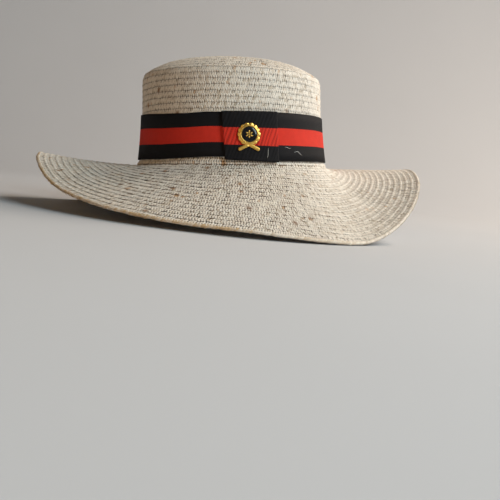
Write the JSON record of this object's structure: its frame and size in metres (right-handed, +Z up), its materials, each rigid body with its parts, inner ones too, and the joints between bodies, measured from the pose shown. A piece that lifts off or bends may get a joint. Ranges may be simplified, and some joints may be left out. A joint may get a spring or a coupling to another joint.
{
  "type": "wide-brimmed straw hat",
  "caption": "Wide-brimmed straw hat with a low flat-topped crown, a brim that droops front and back, a striped ribbon band, a folded ribbon keeper and a small gilt rosette badge.",
  "frame": {"origin": "on the floor that the hat rests on, under the middle of its box", "axes": "+Z up from the floor, -Y the front of the hat with the badge, +X the wearer's left"},
  "size_m": [0.3424, 0.3552, 0.1426],
  "materials": {
    "straw": "sewn paper-straw braid, cream with brown flecks, matte",
    "ribbon": "ribbed grosgrain, black with an orange-red stripe along the middle",
    "gilt": "polished gilt",
    "enamel": "glossy black enamel"
  },
  "bodies": {
    "root": {"straw_body": "straw", "hat_band": "ribbon", "band_keeper": "ribbon", "badge_rosette": "gilt", "badge_enamel": "enamel"}
  },
  "joints": []
}
